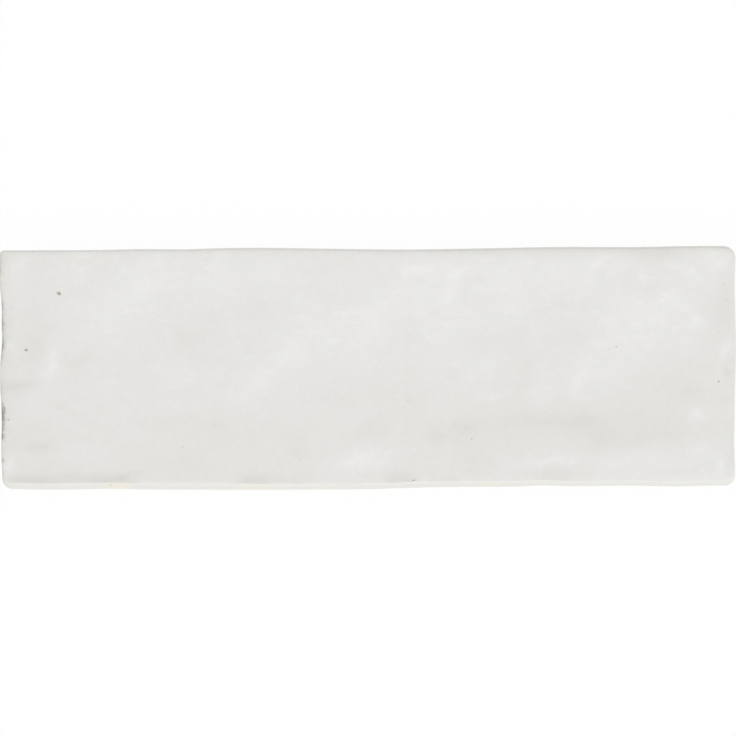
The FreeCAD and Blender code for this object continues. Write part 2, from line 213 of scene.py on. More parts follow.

# Clouds in the glaze, and among them painted highlights: patches of sheen on the face and pieces of
# the pale crest line. Place, half length, half breadth, degrees turned, and how much paler, in
# steps of about one and a half parts in 255.
CLOUDS_AND_SHEEN = [
    # west third
    (-99.0, -13.2, 0.8, 1.4, 0, -4.0), (-98.9, -3.4, 0.9, 1.0, 0, -2.4),
    (-98.6, 17.6, 0.8, 1.4, 0, 2.4), (-98.5, 28.9, 2.3, 1.6, 70, -1.3),
    (-98.2, -10.5, 1.2, 0.8, 0, 2.2), (-98.0, 0.0, 2.6, 24.0, 0, -1.6),
    (-98.0, 11.7, 1.3, 0.8, 22, -1.7), (-97.6, -26.8, 3.4, 1.5, 80, 6.2),
    (-97.4, 5.9, 1.9, 1.4, 0, 3.4), (-96.8, -30.5, 1.6, 1.0, 0, -1.8),
    (-96.8, -15.6, 1.7, 1.1, 0, 2.2), (-96.6, -21.5, 2.6, 1.5, 0, -1.8),
    (-95.5, -4.9, 5.6, 1.5, 8, -5.5), (-95.5, 28.0, 2.6, 1.8, 30, 1.6),
    (-95.0, -7.0, 1.8, 1.2, 13, -1.8), (-95.0, 23.0, 1.8, 2.0, 0, 0.4),
    (-94.0, -24.0, 6.0, 4.0, 0, -1.2), (-93.5, -17.4, 5.0, 3.4, 10, -1.8),
    (-93.0, 2.5, 4.1, 1.8, 53, -1.1), (-92.0, -0.5, 4.0, 2.0, 0, -1.6),
    (-91.9, 20.6, 6.0, 5.3, 51, -1.3), (-91.5, 6.5, 4.0, 4.4, 0, -3.2),
    (-91.2, -5.6, 6.0, 1.5, 37, -1.6), (-91.0, 14.5, 5.0, 2.4, 25, -1.6),
    (-89.0, -21.6, 3.4, 1.6, 0, -4.2), (-88.6, 3.6, 3.4, 1.6, 0, -2.2),
    (-88.0, 28.5, 4.0, 2.6, 0, -1.0), (-87.6, -25.2, 3.8, 2.1, 12, -1.7),
    (-87.3, 10.8, 2.4, 2.2, 0, -1.6), (-86.4, -31.2, 1.3, 0.7, 0, 2.8),
    (-85.9, 0.6, 4.2, 1.7, 74, 3.6), (-84.1, -11.7, 2.9, 1.5, 0, -1.1),
    (-83.0, -10.4, 2.2, 1.2, 0, -1.6), (-81.0, -24.0, 9.0, 2.0, 0, 0.8),
    # The patch at -80.5, -31.0 is a painted highlight, a piece of the pale crest line.
    (-80.5, -31.0, 7.2, 0.8, 0, 1.5), (-79.0, 2.0, 3.0, 1.6, 15, -2.6),
    (-78.4, 30.4, 4.2, 1.0, 5, 1.2), (-78.3, -16.3, 3.4, 2.3, 0, 1.6),
    (-78.0, -4.0, 7.0, 4.0, 0, -0.9), (-78.0, 25.0, 3.0, 2.0, 20, 1.5),
    (-77.7, 31.0, 3.8, 0.9, 0, 1.9), (-76.6, 4.6, 4.5, 1.8, 11, -1.4),
    (-75.0, -17.0, 10.0, 3.6, 0, -1.4), (-70.2, -31.0, 1.2, 0.8, 0, 1.5),
    (-69.6, 17.1, 2.8, 2.3, 0, -1.5), (-65.0, -29.2, 3.2, 0.9, 8, -2.6),
    (-65.0, 18.5, 14.0, 5.0, 40, 2.4), (-64.7, -31.0, 1.7, 0.7, 0, 1.9),
    (-64.3, 28.0, 5.6, 2.6, -26, -1.1), (-64.0, -6.5, 9.0, 3.0, 0, 0.7),
    (-62.5, -2.8, 3.6, 1.8, 0, -0.9), (-62.0, 27.5, 2.4, 1.4, 60, 2.0),
    (-57.0, 29.0, 1.2, 2.4, 0, 2.0), (-55.5, -15.0, 6.0, 2.4, 0, -0.9),
    (-53.0, -2.0, 5.0, 2.6, 0, 1.2), (-50.5, -26.0, 7.0, 3.0, 0, -1.8),
    (-48.5, 25.9, 6.6, 4.1, 0, -1.3), (-48.0, 8.2, 8.0, 3.6, -6, -2.3),
    (-43.5, 24.0, 11.0, 4.5, -12, 1.9), (-43.0, 13.6, 4.0, 2.0, 0, -1.0),
    (-42.1, 25.4, 1.9, 1.3, 0, -1.9), (-41.5, 28.2, 2.0, 1.6, 0, 2.0),
    (-40.5, -15.6, 2.8, 1.6, 0, -2.4), (-40.1, 30.0, 3.3, 1.6, 0, 1.1),
    (-39.9, 31.0, 2.4, 1.1, 0, 2.4), (-36.1, -31.7, 1.2, 0.6, 0, -2.5),
    (-35.0, -20.0, 26.0, 8.0, 0, -1.0),
    # middle
    (-33.0, -3.7, 6.5, 1.8, 20, -1.0), (-31.5, -4.6, 7.0, 3.4, 24, 2.6),
    # The patch at -30.7, -31.2 is a painted highlight, a piece of the pale crest line.
    (-30.7, -31.2, 3.2, 0.9, 0, 2.6), (-30.5, 20.9, 5.8, 2.7, 18, -1.7),
    (-27.0, 16.0, 9.0, 2.6, 10, -1.0), (-27.0, 26.0, 5.5, 4.0, 20, 1.8),
    (-21.5, 4.0, 5.0, 3.0, 35, 2.2), (-19.0, -22.0, 3.0, 3.2, 60, -2.4),
    (-16.8, -30.6, 3.2, 0.9, 0, 1.9), (-16.8, 15.8, 8.5, 4.0, 34, 1.0),
    (-15.0, 6.4, 5.2, 1.6, 27, -2.0), (-13.4, 26.6, 6.8, 3.2, 17, -1.0),
    (-11.5, -3.5, 4.9, 1.9, -15, -1.0), (-10.0, 9.5, 13.0, 5.0, 34, 2.0),
    (-4.8, -29.6, 2.3, 1.6, 0, 1.5), (-4.0, 1.0, 8.0, 2.2, 10, 0.8), (-3.9, 30.3, 1.8, 1.3, 0, 1.1),
    (-3.8, 11.9, 2.2, 1.5, -49, -1.5), (-2.5, -25.4, 7.4, 2.7, 9, 3.1),
    (-2.1, 5.3, 3.5, 1.8, 10, 1.5), (0.0, -8.0, 12.0, 3.5, 0, -1.0),
    (0.5, -16.5, 6.0, 3.0, 0, -2.2), (1.0, 13.0, 6.0, 5.0, 60, 2.0), (2.0, -24.0, 6.0, 2.6, 0, 1.6),
    (4.7, -27.8, 3.7, 1.8, -5, 1.0), (11.0, -0.5, 3.3, 2.4, -34, -1.4),
    (11.5, 9.6, 1.8, 3.4, 0, -1.2), (12.0, 19.0, 9.0, 6.0, 20, 1.6),
    # The patch at 13.0, 26.8 is a painted highlight, a patch of sheen on the face.
    (13.0, -8.0, 4.0, 3.6, 0, -1.6), (13.0, 26.8, 3.8, 1.5, 0, 4.0),
    (16.9, 28.0, 5.6, 3.1, -46, 1.4), (19.0, -18.6, 3.2, 1.8, 20, -2.0),
    (22.0, 11.0, 13.0, 5.0, 20, 1.3), (22.0, 20.0, 2.2, 5.0, 0, 2.0),
    # The patch at 24.4, 25.4 is a painted highlight, a patch of sheen on the face.
    (22.4, 2.6, 5.2, 2.0, 11, 1.5), (24.4, 25.4, 3.0, 1.6, 10, 4.0),
    (25.3, -18.0, 8.9, 4.9, 16, -1.2), (26.0, -16.2, 2.8, 2.0, 0, -2.6),
    (30.0, -24.5, 8.0, 4.6, 0, -1.6), (31.5, 7.2, 4.4, 2.8, 0, -0.8),
    (32.5, 29.7, 3.4, 1.3, 16, 2.1),
    # east third
    (33.5, 1.0, 4.0, 2.8, 20, 1.2), (35.0, -7.4, 6.0, 2.0, 0, 1.0), (36.5, -28.0, 6.0, 3.0, 0, 0.8),
    (37.5, 23.5, 4.6, 5.0, 0, 1.3), (39.6, -5.5, 6.6, 5.1, -57, -1.4),
    (41.0, 7.0, 2.4, 4.0, 0, -1.2), (41.0, 30.1, 2.0, 1.7, 0, 1.2),
    (43.0, -2.4, 2.0, 4.0, -12, -2.2), (43.4, -3.4, 2.6, 1.9, 82, 1.0),
    (46.2, 28.0, 2.8, 1.7, 75, -1.0), (47.0, -6.6, 3.2, 2.4, 0, 1.8),
    (48.7, -27.8, 3.6, 1.8, 42, -1.7), (50.0, -25.4, 9.0, 1.7, 1, 4.0),
    (50.0, -14.2, 5.6, 1.5, 0, -1.6), (50.0, 25.0, 16.0, 4.5, 10, 1.9),
    (52.6, -8.8, 3.2, 1.9, -20, -2.2), (54.0, 17.0, 7.0, 1.5, 10, -1.6),
    (55.0, -15.0, 38.0, 4.6, 1, -3.0), (55.3, 26.0, 3.8, 2.1, 0, -1.0),
    (55.8, -30.6, 2.5, 0.8, 0, 3.2), (56.5, 8.5, 3.6, 2.8, 0, -1.0),
    (57.4, -3.4, 5.6, 2.6, 56, 3.4), (57.5, -26.2, 6.6, 2.0, 8, -1.7),
    (58.0, -14.6, 4.0, 3.0, 0, -1.4), (59.3, 15.3, 3.7, 1.1, 6, -1.8),
    (62.5, 28.8, 3.0, 1.4, 20, 1.8), (62.6, -18.6, 4.0, 2.6, 0, -1.3),
    (65.6, 29.8, 1.5, 0.8, 13, 1.8), (65.8, -0.5, 6.0, 2.4, 35, 1.2),
    (66.0, -21.0, 6.0, 2.5, 0, -1.0), (69.6, -7.1, 7.5, 2.0, 14, -1.2),
    (70.8, 9.8, 4.6, 2.9, 10, -1.4), (72.0, -25.8, 12.0, 2.6, 4, 2.1),
    (72.2, -29.7, 2.6, 1.4, 0, 1.3), (74.0, 12.5, 13.0, 7.0, 28, 2.8),
    (74.4, 24.8, 2.4, 1.5, 0, 2.3), (75.0, -19.0, 14.0, 2.4, 4, -2.0),
    (76.0, 27.0, 6.5, 4.0, -11, -0.8), (78.0, 21.4, 5.0, 1.4, 0, -1.4),
    (79.0, 31.0, 6.6, 1.7, -5, -3.3), (81.4, 19.6, 2.6, 1.2, -20, 2.4),
    (82.0, -3.6, 8.0, 3.6, -6, -2.3), (83.0, -9.5, 16.0, 3.6, 6, -1.8),
    (86.0, 16.6, 3.2, 1.3, -42, 2.6), (86.9, -20.2, 2.1, 1.7, 60, 1.0),
    (87.2, 7.6, 2.3, 1.6, 26, 1.3), (88.0, 1.0, 5.0, 3.0, 0, -1.4),
    (88.0, 25.9, 4.2, 1.5, -22, 3.1), (88.4, -6.8, 3.8, 2.2, 0, -1.7),
    # The patch at 89.6, -12.3 is a painted highlight, a patch of sheen on the face.
    (89.5, 27.3, 2.4, 1.4, -26, -1.0), (89.6, -12.3, 2.0, 1.8, 0, 5.0),
    (90.2, 12.8, 2.2, 1.8, -50, 2.9), (90.6, -21.6, 4.0, 2.0, 0, 2.6),
    (90.7, 18.2, 6.2, 4.6, -23, -1.3), (92.0, 31.6, 3.4, 1.1, 0, 2.0),
    (92.3, -27.0, 2.4, 1.8, 0, -1.3), (92.3, 11.4, 2.2, 1.6, -38, -1.0),
    (92.5, -28.8, 7.6, 2.5, 12, 1.5), (94.5, 2.9, 5.0, 4.5, -42, -1.2),
    (95.6, 28.8, 3.2, 1.8, 0, 2.6), (96.1, 31.7, 1.3, 0.6, 0, 1.8), (96.2, -26.6, 1.2, 2.6, 0, 2.4),
    (96.4, -10.0, 1.6, 5.0, 0, -1.6), (97.0, 5.0, 3.0, 1.2, 60, 3.6),
    (97.0, 15.0, 3.2, 8.6, 0, -3.6), (97.3, 21.3, 1.7, 1.4, 0, -1.9),
    (98.2, -0.8, 1.4, 2.0, 0, -5.0), (98.4, -24.0, 1.0, 4.0, 0, -2.0),
    (99.3, 28.9, 1.0, 2.0, 0, -2.3),
]

# How far a cloud reaches to its half length. How far its edges stray each way and the seed, and
# over what length they do so.
CLOUD_REACH = 3
DRIFT_X = (1.3, 0.4)
DRIFT_Y = (1.0, 8.4)
DRIFT_SIZE = 4.0

# The crest of the south slope: how far in from the foot it lies, how sharp it is, and the breadth
# of the painted highlight just below it.
CREST_RUN_WEST = 1.74
CREST_RUN_EAST = 1.36
CREST_EDGE = 0.28
CREST_DROP = 0.32
CREST_BREADTH = 0.24

# Other tones, in the same steps as the clouds': paler to the north, a painted highlight along the
# crest, a line of painted shade above it in the east half, and the pale foot of the face.
NORTHWARD_TONE = 2.4
CREST_HIGHLIGHT_TONE = 1.0
ARRIS_SHADE_TONE = 1.8
DULL_FROM = 0.38
DULL_OVER = 0.12
DULL_RISE = 0.05
DULL_BREADTH = 0.22
FOOT_TONE_WEST = 0.6
FOOT_TONE_EAST = 2.0
FOOT_FROM = 0.1
FOOT_OVER = 0.5
FOOT_REACH = 1.6
# Painted shade where the face rolls down to the north side, and a darker line of painted shade at
# its very rim.
NORTH_SHADE_WEST = 0.8
NORTH_SHADE_EAST = 3.4
NORTH_SHADE_FROM = 0.45
NORTH_SHADE_OVER = 0.25
NORTH_SHADE_REACH = 1.3
NORTH_SHADE_POWER = 1.4
NORTH_RIM = 0.5
NORTH_RIM_REACH = 0.45
NORTH_RIM_SHADE_TONE = 1.6

# Painted shade on the face just above the bevel, behind the lip: middle, half length, strength.
LIP_SHADES = [
    (-86.5, 11.5, 0.78), (-70.0, 7.0, 0.80), (-31.0, 3.8, 0.80), (-21.0, 6.5, 0.42),
    (9.0, 4.2, 0.75), (20.6, 3.8, 0.26), (52.6, 6.6, 0.42),
]
LIP_SHADE_TONE = 11.0
LIP_SHADE_REACH = 2.4
# How uneven they are: mean, range, length, breadth, seed.
LIP_SHADE_UNEVEN = (0.9, 0.35, 4.5, 2.5, 3.3)

# How warm the glaze looks where it lies thin, near each side: strength, reach.
WARM_WEST = (0.36, 2.2)
WARM_NORTH = (0.26, 3.0)
WARM_EAST = (0.13, 2.5)
WARM_SOUTH = (0.09, 2.5)
# Where it starts at the north side, and over what length.
WARM_NORTH_FROM = 0.1
WARM_NORTH_OVER = 0.8

# Cream on the bevel, a real tint made darker as painted shade on the lit south slope, and what the
# painted highlight on the crest takes of it; and the peach stains along it: middle, half length,
# strength.
CREAM_AND_SHADE_WEST = 0.62
CREAM_AND_SHADE_EAST = 0.95
CREAM_TAKEN_BY_HIGHLIGHT = 0.5
STAINS = [(-68.2, 4.4, 0.5), (-31.0, 5.0, 0.35), (-12.0, 3.0, 0.2), (34.0, 3.0, 0.3)]
# How far down the upright side they fade out.
STAIN_FADE = 2.2

# Grime in the rough west arris: share of the way north, strength.
WEST_GRIME = [
    (0.00, 0.24), (0.05, 0.22), (0.10, 0.12), (0.15, 0.20), (0.185, 0.26), (0.225, 1.10),
    (0.265, 0.92), (0.305, 1.38), (0.33, 0.75), (0.35, 0.35), (0.40, 0.38), (0.43, 0.28),
    (0.48, 0.03), (0.52, 0.60), (0.57, 1.25), (0.64, 0.85), (0.71, 0.90), (0.77, 0.60),
    (0.84, 0.24), (0.93, 0.45), (1.00, 0.35),
]
# Where it starts, measured in from the foot of the side, how far it fades from there, and how far
# down the side it goes.
WEST_GRIME_START = 0.2
WEST_GRIME_REACH = 0.38
GRIME_DROP = 1.2
GRIME_FADE = 1.4
# How uneven it is: mean, range, length along the side, height, seed.
GRIME_UNEVEN = (0.85, 0.5, 2.6, 1.3, 0.3)
# Fainter grime beyond it, and painted shade along the rims of two other sides: strength, start,
# reach.
WEST_SPREAD = (0.09, 0.0, 1.4)
NORTH_EDGE_SHADE = (0.20, 0.15, 0.28)
EAST_EDGE_SHADE = (0.08, 0.0, 0.4)

# Grime and painted shade in the chips: at least, for each millimetre of depth, in patches and how
# close these lie, more to the outside, from where and over what length, less to the north, and the
# bite at which they are full.
CHIP_GRIME_AND_SHADE = 0.06
CHIP_GRIME_AND_SHADE_BY_DEPTH = 1.7
CHIP_GRIME_AND_SHADE_PATCHES = 0.3
CHIP_PATCH_CLOSENESS = 1.3
CHIP_GRIME_AND_SHADE_OUTSIDE = 0.25
CHIP_OUTSIDE_FROM = 0.1
CHIP_OUTSIDE_OVER = 0.8
CHIP_LESS_NORTH = 0.6
CHIP_GRIME_AND_SHADE_FULL = 0.26

# ---- the finish ----
# Patterns in it: scale, detail, roughness.
STREAKS = (150.0, 4.0, 0.60)
MOTTLE = (420.0, 3.0, 0.60)
GRAIN = (1500.0, 2.0, 0.50)
FLECKS = (520.0, 2.0, 0.55)
GRIME_AND_SHADE_GRAIN = (950.0, 4.0, 0.65)
CLAY_GRAIN = (700.0, 5.0, 0.65)
LAP_GRAIN = (900.0, 3.0, 0.60)
ORANGE_PEEL = (600.0, 2.0, 0.50)
PORES = (2600.0, 4.0, 0.70)
STREAK_TURN = -28.0
STREAK_DRAWN = 0.45
# Specks in it: scale, full within, none beyond.
PINPRICKS = (330.0, 0.05, 0.13)
PALE_SPECKS = (280.0, 0.05, 0.14)
GROG_SPECKS = (420.0, 0.05, 0.16)
# From where to where in a pattern the finish goes from nothing to full.
FLECK_WINDOW = (0.50, 0.72)
BRIGHT_WINDOW = (-0.05, 0.15)
BROKEN_WINDOW = (0.34, 0.66)
COVER_WINDOW = (0.30, 0.62)
DIRT_WINDOW = (0.35, 0.65)
# How peach, and the grime and painted shade, follow a pattern: its share, and the least.
PEACH_BY_MOTTLE = (0.8, 0.6)
GRIME_AND_SHADE_BY_STREAKS = (0.6, 0.7)
GRIME_AND_SHADE_BY_GRAIN = (0.8, 0.6)
# How far each shifts the glaze along its tones.
TONE_SHIFT = 0.06
STREAK_SHIFT = 0.22
MOTTLE_SHIFT = 0.26
GRAIN_SHIFT = 0.15
FLECK_SHIFT = 0.02
BRIGHT_FLECK_SHIFT = 0.08
PINPRICK_SHIFT = 0.19
PALE_SPECK_SHIFT = 0.14

# Colours as they look on a screen, from 0 to 255.
GLAZE_TONES = (
    (0.00, (217.0, 216.0, 211.0)),
    (0.35, (226.0, 224.9, 221.0)),
    (0.50, (229.8, 228.8, 226.5)),
    (1.00, (242.0, 241.3, 240.4)),
)
# Cream of the bevel, darker than the glaze as painted shade on its lit slope.
CREAM_AND_SHADE = (222.3, 221.2, 215.2)
PEACH = (235, 228, 211)
# Grime, also the colour of painted shade along the north and east rims and in the chips.
GRIME_AND_SHADE = (149, 149, 136)
CLAY_PALE = (230, 217, 198)
CLAY_DARK = (212, 195, 172)
GROG = (170, 150, 124)
DIRT_DARK = (135, 130, 99)
DIRT_PALE = (161, 156, 125)
FLOOR = (254, 254, 254)
# What thin glaze multiplies the colour by, and plain white.
THIN_GLAZE = (1.010, 1.006, 0.930, 1.0)
WHITE = (1.0, 1.0, 1.0, 1.0)

GROG_SHARE = 0.35
LAP_RAGGED = 0.35
GLAZE_ROUGH = 0.16
CLAY_ROUGH = 0.62
ROUGH_MOTTLE = 0.05
PEEL_RELIEF = 0.25
PINPRICK_RELIEF = 0.3
PORE_RELIEF = 0.5
RELIEF_STRENGTH = 0.10
RELIEF_HEIGHT = 0.0001
GLAZE_IOR = 1.5

# ---- floor, light and camera ----
FLOOR_SIDE = 6.0
FLOOR_GAP = 0.00005
FLOOR_GLOW = 0.95
FILL_LIGHT = 0.84
# The lamp: watts, side and distance in metres, degrees from upright and from south to east.
KEY_POWER = 6.2
KEY_SIDE = 0.9
KEY_AWAY = 1.6
KEY_TILT = 48.0
KEY_SWEEP = 15.0
# The camera: the width it shows at the shoulder, its lens and sensor, and what it sees in metres.
SEEN_WIDTH = 200.38
LENS = 200.0
SENSOR = 36.0
NEAREST_SEEN = 0.01
FARTHEST_SEEN = 20.0


def smooth_step(value):
    """Zero below zero, one above one, and a smooth rise between them."""
    held = min(max(value, 0.0), 1.0)
    return held * held * (3.0 - 2.0 * held)


def mixed(first, second, share):
    """The value that lies a share of the way from the first to the second."""
    return first + (second - first) * share


def fading(distance, reach, power=1):
    """One up to an edge, and less and less beyond it."""
    return math.exp(-(max(distance, 0.0) / reach) ** power)


def soft_line(distance, breadth, power=2):
    """One on the middle of a line, and nothing well off it to either side."""
    return math.exp(-(distance / breadth) ** power)


def wobble(x, y, z):
    """A smooth unevenness from about -1 to 1."""
    return noise.noise(Vector((x, y, z)))


def slope_at(wave, index):
    """The slope of a side at one of its stations."""
    if index in (0, len(wave) - 1):
        return 0.0
    before, after = wave[index - 1], wave[index + 1]
    return (after[1] - before[1]) / (after[0] - before[0])


def wave_at(wave, share):
    """The offset of a side at any share of the way along it, on a smooth line."""
    held = min(max(share, 0.0), 1.0)
    for index in range(len(wave) - 1):
        start, end = wave[index], wave[index + 1]
        if held <= end[0]:
            gap = end[0] - start[0]
            t = (held - start[0]) / gap
            rise = slope_at(wave, index) * gap
            fall = slope_at(wave, index + 1) * gap
            return (
                (2 * t ** 3 - 3 * t ** 2 + 1) * start[1] + (t ** 3 - 2 * t ** 2 + t) * rise
                + (3 * t ** 2 - 2 * t ** 3) * end[1] + (t ** 3 - t ** 2) * fall
            )
    return wave[-1][1]


def turned_by(dx, dy, degrees, length, breadth):
    """A place beside a turned patch, along and across it, in its own half sizes."""
    turn = math.radians(degrees)
    return (
        (dx * math.cos(turn) + dy * math.sin(turn)) / length,
        (dy * math.cos(turn) - dx * math.sin(turn)) / breadth,
    )


def bump_at(dx, dy, length, breadth, degrees):
    """A soft round-edged patch: one at its middle and nothing well outside it."""
    u, v = turned_by(dx, dy, degrees, length, breadth)
    return math.exp(-u * u - v * v)


# ---- the form of the tile ----
def inwards_from(x, y):
    """How far a place lies in from the foot of the south, north, west and east sides."""
    along = x / LENGTH + 0.5
    across = y / WIDTH + 0.5
    return (
        y + WIDTH / 2 + wave_at(SOUTH_WAVE, along),
        WIDTH / 2 + wave_at(NORTH_WAVE, along) - y,
        x + LENGTH / 2 + wave_at(WEST_WAVE, across),
        LENGTH / 2 + wave_at(EAST_WAVE, across) - x,
    )


def face_height(x, y):
    """Height of the glazed face above the back plane."""
    z = THICKNESS
    for share_x, share_y, height, length, breadth, degrees in SWELLS:
        dx = x - (share_x - 0.5) * LENGTH
        dy = y - (share_y - 0.5) * WIDTH
        z += height * bump_at(dx, dy, length, breadth, degrees)
    from_south, from_north, from_west, from_east = inwards_from(x, y)
    along = x / LENGTH + 0.5
    from_south -= mixed(BEVEL_RUN_WEST, BEVEL_RUN_EAST, along)
    z += mixed(LIP_RISE_WEST, LIP_RISE_EAST, along) * fading(from_south, LIP_REACH, 2)
    z -= NORTH_FALL * fading(from_north - NORTH_LEAN, NORTH_REACH)
    z -= WEST_FALL * fading(from_west - WEST_LEAN, WEST_REACH)
    z -= EAST_FALL * fading(from_east - EAST_LEAN, EAST_REACH)
    return z


def ripple(x, y):
    """The glaze's own fine unevenness."""
    return sum(
        height * wobble(x / length, y / breadth, seed) for height, length, breadth, seed in RIPPLES
    )


def lap_at(x, y):
    """Height at which the glaze ends on the side there."""
    return LAP_HEIGHT + sum(
        height * wobble(x / length, y / length, seed) for height, length, seed in LAP_WANDERS
    )


def section(run, top):
    """The rows of a side's section from the face down: how far each is drawn in, and its height."""
    shoulder = THICKNESS - SHOULDER_DROP
    lean = math.atan2(SHOULDER_DROP, run)
    arris = run * (top - shoulder) / SHOULDER_DROP
    start = arris + ARRIS_RADIUS * math.tan(lean / 2)
    rows = []
    for index in range(ARRIS_ROWS):
        turned = lean * index / (ARRIS_ROWS - 1)
        drawn_in = start - ARRIS_RADIUS * math.sin(turned)
        rows.append((drawn_in, top - ARRIS_RADIUS * (1 - math.cos(turned))))
    foot = shoulder - SHOULDER_RADIUS * math.tan((math.pi / 2 - lean) / 2)
    upper = rows[-1]
    lower = (SHOULDER_RADIUS * (1 - math.sin(lean)), foot + SHOULDER_RADIUS * math.cos(lean))
    for index in range(BEVEL_ROWS):
        share = (index + BEVEL_FIRST_ROW) / BEVEL_ROWS
        rows.append((mixed(upper[0], lower[0], share), mixed(upper[1], lower[1], share)))
    for index in range(SHOULDER_ROWS):
        turned = mixed(lean, math.pi / 2, index / (SHOULDER_ROWS - 1))
        drawn_in = SHOULDER_RADIUS * (1 - math.sin(turned))
        rows.append((drawn_in, foot + SHOULDER_RADIUS * math.cos(turned)))
    for index in range(WALL_ROWS):
        rows.append((0.0, mixed(foot, BACK_ARRIS, (index + 1) / WALL_ROWS)))
    rows.append((BACK_ARRIS / 2, BACK_ARRIS / 2))
    rows.append((BACK_ARRIS, 0.0))
    return rows


# The run of the slope and the height of the face at each side.
SIDES = {
    "south_west": (BEVEL_RUN_WEST, THICKNESS + LIP_RISE_WEST),
    "south_east": (BEVEL_RUN_EAST, THICKNESS + LIP_RISE_EAST),
    "east": (EAST_LEAN, THICKNESS - EAST_FALL),
    "north": (NORTH_LEAN, THICKNESS - NORTH_FALL),
    "west": (WEST_LEAN, THICKNESS - WEST_FALL),
}
SECTIONS = {side: section(run, top) for side, (run, top) in SIDES.items()}
LAST_ROW = len(SECTIONS["north"]) - 1


def rounded(x, y, corner_x, corner_y, radius):
    """Bends a square corner of the net into a round one."""
    out_x = math.copysign(1.0, corner_x)
    out_y = math.copysign(1.0, corner_y)
    middle_x = corner_x - out_x * radius
    middle_y = corner_y - out_y * radius
    a = (x - middle_x) * out_x / radius
    b = (y - middle_y) * out_y / radius
    if a <= 0.0 or b <= 0.0:
        return x, y
    bent_a = a * math.sqrt(max(0.0, 1.0 - b * b / 2.0))
    bent_b = b * math.sqrt(max(0.0, 1.0 - a * a / 2.0))
    return middle_x + out_x * radius * bent_a, middle_y + out_y * radius * bent_b


def plan(u, v, row):
    """Where a place of the net, from -1 to 1 each way, lies in plan at one row of the section."""
    share = (u + 1.0) / 2.0
    south_in = mixed(SECTIONS["south_west"][row][0], SECTIONS["south_east"][row][0], share)
    west = -LENGTH / 2 + SECTIONS["west"][row][0]
    east = LENGTH / 2 - SECTIONS["east"][row][0]
    south = -WIDTH / 2 + south_in
    north = WIDTH / 2 - SECTIONS["north"][row][0]
    x = mixed(west, east, share)
    y = mixed(south, north, (v + 1.0) / 2.0)
    x, y = rounded(x, y, west, south, CORNER_SW)
    x, y = rounded(x, y, east, south, CORNER_SE)
    x, y = rounded(x, y, east, north, CORNER_NE)
    x, y = rounded(x, y, west, north, CORNER_NW)
    along = x / LENGTH + 0.5
    across = y / WIDTH + 0.5
    near_west = 1.0 - smooth_step((x - west) / WAVE_DEPTH)
    near_east = 1.0 - smooth_step((east - x) / WAVE_DEPTH)
    near_south = 1.0 - smooth_step((y - south) / WAVE_DEPTH)
    near_north = 1.0 - smooth_step((north - y) / WAVE_DEPTH)
    shift_x = near_east * wave_at(EAST_WAVE, across) - near_west * wave_at(WEST_WAVE, across)
    shift_y = near_north * wave_at(NORTH_WAVE, along) - near_south * wave_at(SOUTH_WAVE, along)
    return x + shift_x, y + shift_y


def row_height(u, v, row):
    """Height of a row and of the face above it, eased round the corners from side to side."""
    heights = {side: (SECTIONS[side][row][1], SIDES[side][1]) for side in SIDES}
    lengthwise = heights["north"]
    if v <= 0.0:
        ends = zip(heights["south_west"], heights["south_east"])
        lengthwise = [mixed(west, east, (u + 1.0) / 2.0) for west, east in ends]
    crosswise = heights["east"] if u > 0.0 else heights["west"]
    to_end = (1.0 - abs(u)) * LENGTH / 2
    to_side = (1.0 - abs(v)) * WIDTH / 2
    share = 0.5 - 0.5 * smooth_step(to_end / CORNER_BLEND)
    share += 0.5 * smooth_step(to_side / CORNER_BLEND)
    return mixed(lengthwise[0], crosswise[0], share), mixed(lengthwise[1], crosswise[1], share)


# ---- modelling ----
def begin(name, add, **settings):
    """Adds a primitive with nothing else selected, names it and opens it for editing."""
    bpy.ops.object.select_all(action="DESELECT")
    add(**settings)
    piece = bpy.context.object
    piece.name = name
    piece.data.name = name
    bpy.ops.object.mode_set(mode="EDIT")
    return piece


def net_of(piece):
    """The mesh of the piece that is open for editing."""
    return bmesh.from_edit_mesh(piece.data)


def choose(piece, kind, test):
    """Selects only the edges or faces that pass a test."""
    bpy.ops.mesh.select_all(action="DESELECT")
    bpy.ops.mesh.select_mode(type=kind)
    net = net_of(piece)
    for part in net.edges if kind == "EDGE" else net.faces:
        part.select_set(test(part))
    net.select_flush_mode()
    bmesh.update_edit_mesh(piece.data)


def lay_face():
    """The face as a close net, swelling and falling as the glaze does."""
    piece = begin(
        "glazed_tile", bpy.ops.mesh.primitive_grid_add, x_subdivisions=COLUMNS,
        y_subdivisions=ROWS, size=1.0, location=(0.0, 0.0, 0.0),
    )
    bpy.ops.transform.resize(value=(LENGTH * MM, WIDTH * MM, 1.0))
    net = net_of(piece)
    for name in NOTES:
        net.verts.layers.float.new(name)
    laid = net.verts.layers.float_vector.new("laid")
    for vert in net.verts:
        u = vert.co.x / (LENGTH / 2 * MM)
        v = vert.co.y / (WIDTH / 2 * MM)
        vert[laid] = Vector((u, v, 0.0))
        x, y = plan(u, v, 0)
        vert.co = Vector((x, y, face_height(x, y) + ripple(x, y))) * MM
    bmesh.update_edit_mesh(piece.data)
    return piece


